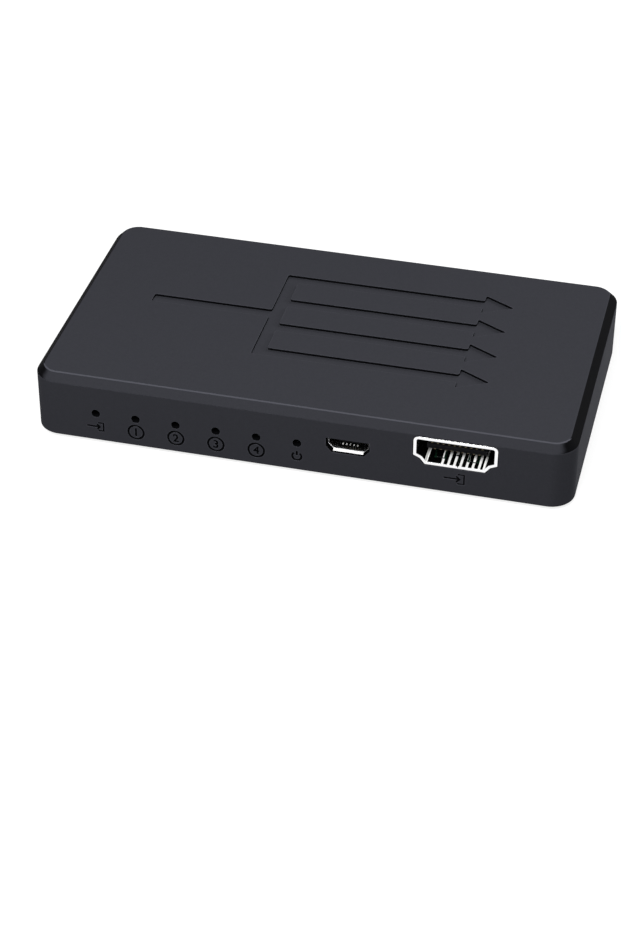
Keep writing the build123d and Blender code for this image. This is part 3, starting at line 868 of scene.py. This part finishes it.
def lip_steel(name, colour, lip_low, lip_high):
    """Plated steel, dark on its cut front edges, with painted highlights: a pale lower lip and pale spots under
    its contacts.
    """
    surface = plated_metal(name, colour, 0.2)
    low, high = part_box("power_socket_contacts")
    pitches = 4.3
    skin = 0.1 * MM
    spot_end = 0.65 * MM
    x, y, level = surface.place()
    _, forward, upward = surface.normal()
    in_lip = y.between(lip_low.y - skin, lip_high.y) * level.between(lip_low.z, lip_high.z + skin)
    turns = (x - (low.x + high.x) / 2) * (2 * pi * pitches / (high.x - low.x))
    under_contacts = (turns.maths("COSINE", turns) > 0.5) * x.between(low.x, high.x)
    spots = under_contacts * y.between(low.y + skin, low.y + spot_end)
    # Painted highlights: the lower lip and the spots under the contacts are made pale and dull.
    surface.wipe((upward > 0.6) * (in_lip | spots), (0.9, 0.9, 0.9))
    surface.cover(forward < -0.9, (0.05, 0.05, 0.055))
    return surface


def rubber(name, colour):
    """Dull rubber with a coarse, shallow grain."""
    surface = Surface(name, colour, 0.85, specular=0.3)
    grain = surface.group("Moulded grain", Size=0.35 * MM, Contrast=0.3)
    surface.vary_colour(grain["Speckle"])
    surface.bump(grain["Height"], 0.02 * MM)
    return surface


def blackened_steel(name, colour):
    """Black oxide on steel, bright where its edges are worn."""
    surface = Surface(name, colour, 0.38, metallic=0.9)
    wear_and_highlight = surface.group("Edge wear and highlight", Width=0.12 * MM, Amount=2.5)
    marks = surface.group("Handling marks", Size=1.5 * MM, Amount=0.2)
    grain = surface.group("Moulded grain", Size=0.12 * MM, Contrast=0.2)
    surface.vary_colour(wear_and_highlight["Mask"], lightest=6.0)
    surface.vary_roughness(marks["Change"])
    surface.bump(grain["Height"], 0.003 * MM)
    return surface


def smoked_lens(name):
    """Dark smoked resin, a little cloudy."""
    surface = Surface(name, (0.004, 0.004, 0.0045), 0.6, specular=0.05)
    surface.vary_colour(surface.group("Handling marks", Size=0.8 * MM, Amount=0.3)["Change"])
    return surface


def board_laminate(name):
    """Solder mask over copper lines, on a woven board."""
    surface = Surface(name, (0.006, 0.035, 0.018), 0.3)
    surface.sockets["Coat Weight"].default_value = 0.3
    rows = {
        "Vector": own_place(surface.tree),
        "Scale": 1.0,
        "Brick Width": 7.5 * MM,
        "Row Height": 0.9 * MM,
        "Mortar Size": 0.12 * MM,
        "Mortar Smooth": 0.1,
    }
    pattern = add_node(surface.tree, "ShaderNodeTexBrick", rows, offset=0.37)
    lines = Value(surface.tree, pattern.outputs["Fac"])
    weave = surface.group("Moulded grain", Size=0.5 * MM, Contrast=0.2)
    surface.cover(lines, (0.015, 0.065, 0.032))
    surface.bump(lines + weave["Height"] * 0.3, 0.03 * MM)
    return surface


def wound_ferrite(name):
    """A sintered core with copper wire round its waist."""
    surface = Surface(name, (0.03, 0.03, 0.033), 0.5)
    low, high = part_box("power_coil")
    flange = 0.21 * (high.z - low.z)
    wire = 0.18 * MM
    level = surface.place()[2]
    turns = level * (2 * pi / wire)
    waist = level.between(low.z + flange, high.z - flange)
    surface.cover(waist, (0.62, 0.24, 0.1))
    (waist * 0.9).feed(surface.sockets["Metallic"])
    surface.bump(turns.maths("SINE", turns) * waist, 0.03 * MM)
    return surface


def sintered(name, colour, roughness=0.45):
    """Fired or moulded small parts with a fine speckle."""
    surface = Surface(name, colour, roughness)
    grain = surface.group("Moulded grain", Size=0.15 * MM, Contrast=0.8)
    surface.vary_colour(grain["Speckle"])
    surface.bump(grain["Height"], 0.01 * MM)
    return surface


# Pieces


def in_outer_wall(vertex):
    """Whether a vertex lies within the thickness of the case's walls."""
    wall = 1.79 * MM
    return abs(vertex.co.x) > CASE_HIGH.x - wall or abs(vertex.co.y) > CASE_HIGH.y - wall


def is_outer_wall(face):
    """Whether a face belongs to a wall and looks away from the middle of the case."""
    corner = 4.6 * MM
    ledge = 1 * MM
    centre = face.calc_center_median()
    outward = centre.x * face.normal.x + centre.y * face.normal.y > 0
    at_wall = abs(centre.x) > CASE_HIGH.x - corner or abs(centre.y) > CASE_HIGH.y - ledge
    return abs(face.normal.z) < 0.1 and outward and at_wall


class SPLITTER_OT_upper_shell(bpy.types.Operator):
    """The moulded case with rounded edges, sunk labels and the sunk diagram on its top"""

    bl_idname = "splitter.upper_shell"
    bl_label = "Upper shell"

    def execute(self, context):
        case = context.scene.splitter_case
        diagram = context.scene.splitter_diagram
        openings = LAMPS + [f"{name}_socket_shell" for name in (*VIDEO_SOCKETS, "power")]
        piece = merged_copy("upper_shell", "moulded_case", [middle(node).x for node in openings])
        shoulder = max(vertex.co.z for vertex in piece.data.vertices if vertex.co.y < CASE_LOW.y + NEAR)

        def crest(edge):
            return is_sharp(edge) and lies_at(edge, 2, CASE_HIGH.z)

        def outer_shoulder(edge):
            return is_sharp(edge) and lies_at(edge, 2, shoulder) and any(map(in_outer_wall, edge.verts))

        def port_edge(edge):
            in_wall = lies_at(edge, 1, CASE_LOW.y) or lies_at(edge, 1, CASE_HIGH.y)
            return is_sharp(edge, 60) and in_wall and not lies_at(edge, 2, CASE_LOW.z)

        def outer_base(edge):
            in_base = is_sharp(edge, 60) and lies_at(edge, 2, CASE_LOW.z)
            return in_base and any(map(is_outer_wall, edge.link_faces))

        def diagram_edge(edge):
            return is_sharp(edge, 60) and lies_at(edge, 2, CASE_HIGH.z)

        bevel_edges(piece, crest, case.crest_round, 3)
        bevel_edges(piece, outer_shoulder, case.shoulder_round, 3)
        bevel_edges(piece, port_edge, case.port_round, 2)
        bevel_edges(piece, outer_base, case.base_round, 3)
        carve(piece, [diagram_cutter(diagram)])
        bevel_edges(piece, diagram_edge, diagram.rim, 2)
        carve(piece, [*front_labels(case), *rear_labels(case)])
        smooth(piece)
        finish(piece, case_plastic("Charcoal plastic", case), "upper_shell")
        return {"FINISHED"}


class SPLITTER_OT_bottom_cover(bpy.types.Operator):
    """The flat cover with its edges broken"""

    bl_idname = "splitter.bottom_cover"
    bl_label = "Bottom cover"

    def execute(self, context):
        case = context.scene.splitter_case
        piece = merged_copy("bottom_cover", "moulded_cover")
        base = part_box("bottom_cover")[0].z
        bevel_edges(piece, lambda edge: lies_at(edge, 2, base) and is_sharp(edge, 60), 0.08 * MM, 2)
        smooth(piece)
        grain = 1.6 * case.grain_size, 2 * case.grain_depth
        plastic = moulded_plastic("Cover plastic", case.cover_colour, *grain, roughness=0.6)
        finish(piece, plastic, "bottom_cover")
        return {"FINISHED"}


class SPLITTER_OT_cover_screws(bpy.types.Operator):
    """Four threaded screws with domed heads and cross recesses"""

    bl_idname = "splitter.cover_screws"
    bl_label = "Cover screws"

    def execute(self, context):
        fasteners = context.scene.splitter_fasteners
        low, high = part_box("cover_screws")
        radius = 1.9 * MM
        seat = low.z + 1.1 * MM
        core = 1.0 * MM - fasteners.thread_height
        tip = high.z - 0.9 * MM
        profile = [
            (0.72 * radius, low.z),
            (0.88 * radius, low.z + 0.07 * MM),
            (0.97 * radius, low.z + 0.22 * MM),
            (radius, low.z + 0.45 * MM),
            (radius, seat - 0.08 * MM),
            (0.96 * radius, seat),
            (core, seat + 0.01 * MM),
            (core, tip),
            (0.35 * core, high.z),
        ]
        screw = turned("screw", profile, fasteners.sides)
        carve(screw, self.recess(low.z))
        carve(screw, [self.thread(fasteners, core, seat + 0.9 * MM, tip)], "UNION")
        smooth(screw, 35)
        piece = repeated(screw, "cover_screw_set", self.places())
        steel = blackened_steel("Blackened steel", fasteners.screw_colour)
        finish(piece, steel, "cover_screws")
        return {"FINISHED"}

    def recess(self, face):
        """Two crossed bars with rounded edges, sunk into the head's face."""
        half_length = 1.1 * MM
        half_width = 0.25 * MM
        depth = 0.6 * MM
        bars = []
        for x, y in ((half_length, half_width), (half_width, half_length)):
            bar = box_cutter((-x, -y, face - 0.5 * MM), (x, y, face + depth))
            edit(bar, "FACE", "SELECT")
            bpy.ops.mesh.bevel(offset=0.08 * MM, segments=2, affect="EDGES")
            close()
            bars.append(bar)
        return bars

    def thread(self, fasteners, core, start, end):
        """A closed helical ridge, sharp outside and sunk into the core."""
        pitch = fasteners.thread_pitch
        root = core - 0.12 * MM
        half_foot = 0.34 * pitch
        triangle = {"vertices": 3, "radius": 0.5 * pitch, "rotation": (pi / 2, 0, 0)}
        ridge = added(bpy.ops.mesh.primitive_circle_add, **triangle)
        bpy.ops.object.transform_apply(location=False, rotation=True, scale=True)
        corners = [(core + fasteners.thread_height, 0), (root, half_foot), (root, -half_foot)]
        for vertex, (x, z) in zip(ridge.data.vertices, corners):
            vertex.co = (x, 0, start + z)
        turns = {"angle": 2 * pi, "screw_offset": pitch, "iterations": int((end - start) / pitch)}
        apply_modifier(ridge, "SCREW", steps=20, render_steps=20, use_merge_vertices=False, **turns)
        edit(ridge, "EDGE")
        bpy.ops.mesh.select_non_manifold()
        bpy.ops.mesh.fill()
        bpy.ops.mesh.select_all(action="SELECT")
        bpy.ops.mesh.normals_make_consistent(inside=False)
        close()
        return ridge

    def places(self):
        """Where the screws stand, from the four solids of the node."""
        apart = 5 * MM
        groups = []
        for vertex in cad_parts["cover_screws"].data.vertices:
            near = [group for group in groups if (group[0] - vertex.co).xy.length < apart]
            if near:
                near[0].append(vertex.co)
            else:
                groups.append([vertex.co])
        if len(groups) != 4:
            raise ValueError("the cover screws aren't four separate solids")

        def centre(values):
            return (min(values) + max(values)) / 2

        return [(centre([at.x for at in group]), centre([at.y for at in group]), 0) for group in groups]


class SPLITTER_OT_rubber_feet(bpy.types.Operator):
    """Four round pads with soft edges and a dished face"""

    bl_idname = "splitter.rubber_feet"
    bl_label = "Rubber feet"

    def execute(self, context):
        fasteners = context.scene.splitter_fasteners
        low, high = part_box("rubber_feet")
        radius = 4.0 * MM
        profile = [
            (0.55 * radius, 0.1 * MM),
            (0.72 * radius, 0.06 * MM),
            (0.82 * radius, 0.0),
            (0.92 * radius, 0.03 * MM),
            (0.98 * radius, 0.16 * MM),
            (radius, 0.34 * MM),
            (radius, high.z - 0.1 * MM),
            (0.97 * radius, high.z),
        ]
        foot = turned("foot", profile, fasteners.sides)
        smooth(foot, 40)
        rows = low.y + radius, high.y - radius
        columns = low.x + radius, high.x - radius
        piece = repeated(foot, "rubber_foot_set", [(x, y, 0) for y in rows for x in columns])
        finish(piece, rubber("Foot rubber", fasteners.foot_colour), "rubber_feet")
        return {"FINISHED"}


def round_mouth(piece, mouth, least, offset, segments):
    """Rounds the edges in a mouth's plane where the surface turns by at least this many degrees."""
    bevel_edges(piece, lambda edge: lies_at(edge, 1, mouth) and is_sharp(edge, least), offset, segments)


class SPLITTER_OT_video_sockets(bpy.types.Operator):
    """Five plated video sockets with rounded rims, moulded tongues and contacts"""

    bl_idname = "splitter.video_sockets"
    bl_label = "Video sockets"

    def execute(self, context):
        sockets = context.scene.splitter_sockets
        tongue = moulded_plastic("Socket plastic", sockets.tongue_colour, 0.1 * MM, 0.002 * MM, 0.4)
        plating = plated_metal("Contact plating", sockets.contact_colour, 0.22, streak_size=0.1 * MM)
        for socket in VIDEO_SOCKETS:
            node = f"{socket}_socket_shell"
            side = 1 if mouth_of(node) < 0 else -1
            piece = merged_copy(node, f"{socket}_plated_shell")
            self.close_seam(piece, node, side)
            round_mouth(piece, mouth_of(node), 60, sockets.rim_round, 3)
            smooth(piece)
            steel = socket_steel(f"Socket steel {socket}", sockets.steel_colour, middle(node).x, side)
            finish(piece, steel, node)
            paint_nodes(tongue, f"{socket}_socket_insulator")
            paint_nodes(plating, f"{socket}_socket_contacts")
        return {"FINISHED"}

    def close_seam(self, piece, node, side):
        """Closes the outer half of the seam in the rim."""
        shift = 0.5 * MM
        half_width = 0.4 * MM
        depth = 0.4 * MM
        height = 0.3 * MM
        seam = middle(node).x + side * shift
        mouth, base = mouth_of(node), rim_base(node)
        front, back = sorted((mouth, mouth + side * depth))
        plug = box_cutter((seam - half_width, front, base), (seam + half_width, back, base + height))
        carve(piece, [plug], "UNION")
        edit(piece, "FACE", "SELECT")
        bpy.ops.mesh.dissolve_limited(angle_limit=radians(0.5))
        close()


class SPLITTER_OT_power_socket(bpy.types.Operator):
    """The small power socket with its flared lip"""

    bl_idname = "splitter.power_socket"
    bl_label = "Power socket"

    def execute(self, context):
        sockets = context.scene.splitter_sockets
        node = "power_socket_shell"
        piece = merged_copy(node, "power_plated_shell")
        centre = middle(node).x
        mouth = mouth_of(node)
        lip_places = in_mouth(piece.data.vertices, mouth)
        base = min(place.z for place in lip_places)
        sill = min(place.z for place in lip_places if place.z > base + 0.1 * MM)
        half_lip = max(place.x for place in lip_places if place.z < sill + NEAR) - centre - 0.1 * MM
        lip_low = Vector((centre - half_lip, mouth - sockets.lip_reach, base + 0.02 * MM))
        lip_high = Vector((centre + half_lip, mouth + 0.15 * MM, sill + 0.03 * MM))
        round_mouth(piece, mouth, 45, sockets.lip_round, 2)
        lip = box_cutter(lip_low, lip_high)
        for vertex in lip.data.vertices:
            if vertex.co.y < mouth and vertex.co.z > sill:
                vertex.co.z = lip_low.z + sockets.lip_edge
        carve(piece, [lip], "UNION")
        smooth(piece)
        steel = lip_steel("Power socket steel", sockets.steel_colour, lip_low, lip_high)
        finish(piece, steel, node)
        tongue = moulded_plastic("Power socket plastic", sockets.tongue_colour, 0.1 * MM, 0.002 * MM, 0.4)
        plating = plated_metal("Power contact plating", sockets.contact_colour, 0.25, streak_size=0.1 * MM)
        paint_nodes(tongue, "power_socket_insulator")
        paint_nodes(plating, "power_socket_contacts")
        return {"FINISHED"}


class SPLITTER_OT_lamps(bpy.types.Operator):
    """Six dark indicator lamps behind their holes"""

    bl_idname = "splitter.lamps"
    bl_label = "Indicator lamps"

    def execute(self, context):
        paint_nodes(smoked_lens("Smoked lens"), *LAMPS)
        return {"FINISHED"}


class SPLITTER_OT_board(bpy.types.Operator):
    """The circuit board and what is soldered to it"""

    bl_idname = "splitter.board"
    bl_label = "Board and its parts"

    def execute(self, context):
        chips = ["splitter_chip", "controller_chip", "memory_chip", "voltage_regulator"]
        leads = [f"{chip}_leads" for chip in chips]
        paint_nodes(board_laminate("Board laminate"), "main_board")
        paint_nodes(sintered("Chip plastic", (0.018, 0.018, 0.019), 0.6), *chips, "surge_guards")
        paint_nodes(plated_metal("Tinned leads", (0.72, 0.72, 0.71), 0.35), *leads)
        paint_nodes(plated_metal("Can metal", (0.75, 0.75, 0.76), 0.3), "crystal", "can_capacitors")
        paint_nodes(wound_ferrite("Wound ferrite"), "power_coil")
        paint_nodes(sintered("Fuse body", (0.02, 0.12, 0.06)), "power_fuse")
        paint_nodes(sintered("Ceramic", (0.42, 0.3, 0.19)), "ceramic_capacitors")
        paint_nodes(sintered("Resistor body", (0.02, 0.02, 0.024), 0.3), "lamp_resistors")
        return {"FINISHED"}


class SPLITTER_OT_stage(bpy.types.Operator):
    """The pale floor, the sky, three soft lamps and the camera"""

    bl_idname = "splitter.stage"
    bl_label = "Stage"

    def execute(self, context):
        stage = context.scene.splitter_stage
        context.scene.view_settings.view_transform = "Standard"
        self.sky(context, stage)
        self.floor(stage)
        self.lamp("key_lamp", Vector((-0.07, -0.39, 0.45)), 0.3, stage.key)
        self.lamp("side_lamp", Vector((0.36, 0.14, 0.12)), 0.15, stage.side)
        self.lamp("rear_lamp", Vector((0.28, 0.6, 0.44)), 0.4, stage.rear)
        self.camera(context, stage)
        return {"FINISHED"}

    def seen(self, tree):
        """One where the camera, gloss or glass looks straight at the backdrop, else nought."""
        path = tree.nodes.new("ShaderNodeLightPath").outputs
        kinds = ("Camera", "Glossy", "Transmission")
        camera, gloss, glass = [Value(tree, path[f"Is {kind} Ray"]) for kind in kinds]
        return camera | gloss | glass

    def sky(self, context, stage):
        """Even light from all round, white where the camera, gloss or glass sees it."""
        world = bpy.data.worlds.new("Studio sky")
        context.scene.world = world
        world.use_nodes = True
        tree = world.node_tree
        background = tree.nodes["Background"]
        background.inputs["Color"].default_value = (1, 1, 1, 1)
        (self.seen(tree) * (1 - stage.sky) + stage.sky).feed(background.inputs["Strength"])

    def floor(self, stage):
        """A large pale floor that keeps the object's shadow near it and is white further out."""
        floor = added(bpy.ops.mesh.primitive_plane_add, size=stage.floor_size)
        floor.name = "floor"
        surface = Surface("Pale floor", (1, 1, 1), 0.9, specular=0.0)
        tree = surface.tree
        seen = self.seen(tree)
        reach = add_node(tree, "ShaderNodeVectorMath", {0: own_place(tree)}, operation="LENGTH")
        near = 1.0 - Value(tree, reach.outputs["Value"]).fade(stage.floor_near, stage.floor_far)
        pale = seen * (near * (stage.floor_shade - stage.floor_bounce)) + stage.floor_bounce
        pale.feed(surface.sockets["Base Color"])
        surface.sockets["Emission Color"].default_value = (1, 1, 1, 1)
        (seen * (1.0 - near * (1 - stage.floor_glow))).feed(surface.sockets["Emission Strength"])
        self.clear_from_below(surface)
        floor.data.materials.append(surface.material)

    def clear_from_below(self, surface):
        """Lets a camera under the floor see the object's underside."""
        tree = surface.tree
        shaders = {
            "Fac": tree.nodes.new("ShaderNodeNewGeometry").outputs["Backfacing"],
            1: surface.shader.outputs["BSDF"],
            2: tree.nodes.new("ShaderNodeBsdfTransparent").outputs["BSDF"],
        }
        mix = add_node(tree, "ShaderNodeMixShader", shaders)
        tree.links.new(mix.outputs["Shader"], tree.nodes["Material Output"].inputs["Surface"])

    def lamp(self, name, place, size, power):
        """A square soft lamp that looks at the middle of the floor."""
        light = bpy.data.lights.new(name, "AREA")
        light.shape = "SQUARE"
        light.size = size
        light.energy = power
        lamp = bpy.data.objects.new(name, light)
        bpy.context.scene.collection.objects.link(lamp)
        lamp.location = place
        lamp.rotation_euler = (-place).to_track_quat("-Z", "Y").to_euler()

    def camera(self, context, stage):
        """The camera at the photograph's angle."""
        flat = Vector((sin(stage.azimuth), -cos(stage.azimuth), 0))
        back = flat * cos(stage.elevation) + Vector((0, 0, sin(stage.elevation)))
        right = Vector((0, 0, 1)).cross(back).normalized()
        up = back.cross(right)
        leaning_right = right * cos(stage.roll) + up * sin(stage.roll)
        leaning_up = up * cos(stage.roll) - right * sin(stage.roll)
        data = bpy.data.cameras.new("camera")
        data.lens = stage.focal_length
        data.sensor_width = 36
        data.clip_start = 10 * MM
        camera = bpy.data.objects.new("camera", data)
        context.scene.collection.objects.link(camera)
        place = Vector((stage.target_x, 0, stage.target_z)) + back * stage.distance
        turn = Matrix((leaning_right, leaning_up, back)).transposed().to_4x4()
        camera.matrix_world = Matrix.Translation(place) @ turn
        context.scene.camera = camera


class SPLITTER_PT_sidebar(bpy.types.Panel):
    """Lists the pieces of the splitter and the sizes that can be changed"""

    bl_label = "Video splitter"
    bl_idname = "SPLITTER_PT_sidebar"
    bl_space_type = "VIEW_3D"
    bl_region_type = "UI"
    bl_category = "Splitter"

    def draw(self, context):
        for operator in OPERATORS:
            self.layout.operator(operator.bl_idname)
        for name, group in SETTINGS.items():
            box = self.layout.box()
            box.label(text=group.__doc__)
            for setting in group.__annotations__:
                box.prop(getattr(context.scene, name), setting)


OPERATORS = [
    SPLITTER_OT_upper_shell,
    SPLITTER_OT_bottom_cover,
    SPLITTER_OT_cover_screws,
    SPLITTER_OT_rubber_feet,
    SPLITTER_OT_video_sockets,
    SPLITTER_OT_power_socket,
    SPLITTER_OT_lamps,
    SPLITTER_OT_board,
    SPLITTER_OT_stage,
]
SETTINGS = {
    "splitter_case": CaseSettings,
    "splitter_diagram": DiagramSettings,
    "splitter_sockets": SocketSettings,
    "splitter_fasteners": FastenerSettings,
    "splitter_stage": StageSettings,
}
CLASSES = [*SETTINGS.values(), *OPERATORS, SPLITTER_PT_sidebar]


def register():
    for entry in CLASSES:
        bpy.utils.register_class(entry)
    for name, group in SETTINGS.items():
        setattr(bpy.types.Scene, name, PointerProperty(type=group))


def unregister():
    for name in SETTINGS:
        delattr(bpy.types.Scene, name)
    for entry in reversed(CLASSES):
        bpy.utils.unregister_class(entry)


def main():
    register()
    bpy.ops.splitter.upper_shell()
    bpy.ops.splitter.bottom_cover()
    bpy.ops.splitter.cover_screws()
    bpy.ops.splitter.rubber_feet()
    bpy.ops.splitter.video_sockets()
    bpy.ops.splitter.power_socket()
    bpy.ops.splitter.lamps()
    bpy.ops.splitter.board()
    bpy.ops.splitter.stage()


if __name__ == "__main__":
    main()
